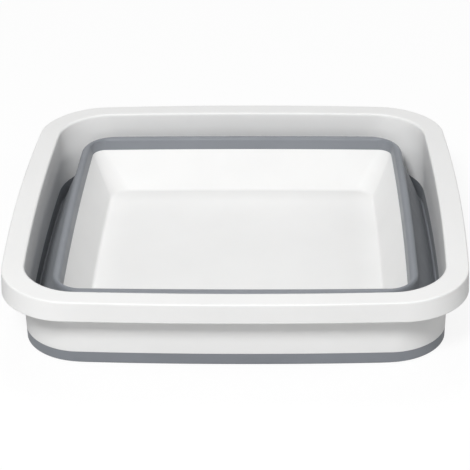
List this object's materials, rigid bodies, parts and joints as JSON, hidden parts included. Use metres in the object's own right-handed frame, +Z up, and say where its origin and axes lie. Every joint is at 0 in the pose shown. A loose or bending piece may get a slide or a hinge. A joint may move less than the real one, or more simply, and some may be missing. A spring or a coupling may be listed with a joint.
{
  "type": "collapsible washbasin",
  "caption": "Square folding washing bowl: a rigid tray joined to a rigid rim frame by a soft folding wall, so the frame lifts up for use and drops flat for packing.",
  "frame": {"origin": "on the table under the middle of the bowl, folded flat", "axes": "+Z up, the way the rim frame lifts; +X and +Y square to the bowl's sides, and the pictured front is the side at -Y"},
  "size_m": [0.3198, 0.3198, 0.0542],
  "materials": {
    "white_plastic": "white moulded plastic with a satin surface",
    "grey_rubber": "mid grey soft plastic with a satin surface"
  },
  "bodies": {
    "tray": {"base_tray": "white_plastic", "tray_edge_band": "grey_rubber", "folding_wall": "grey_rubber"},
    "frame": {"rim_frame": "white_plastic", "frame_edge_band": "grey_rubber"}
  },
  "joints": [
    {"name": "open_lift", "type": "slide", "parent": "tray", "child": "frame", "axis": [0, 0, 1], "range_m": [0, 0.068], "deforming": ["folding_wall"]}
  ]
}
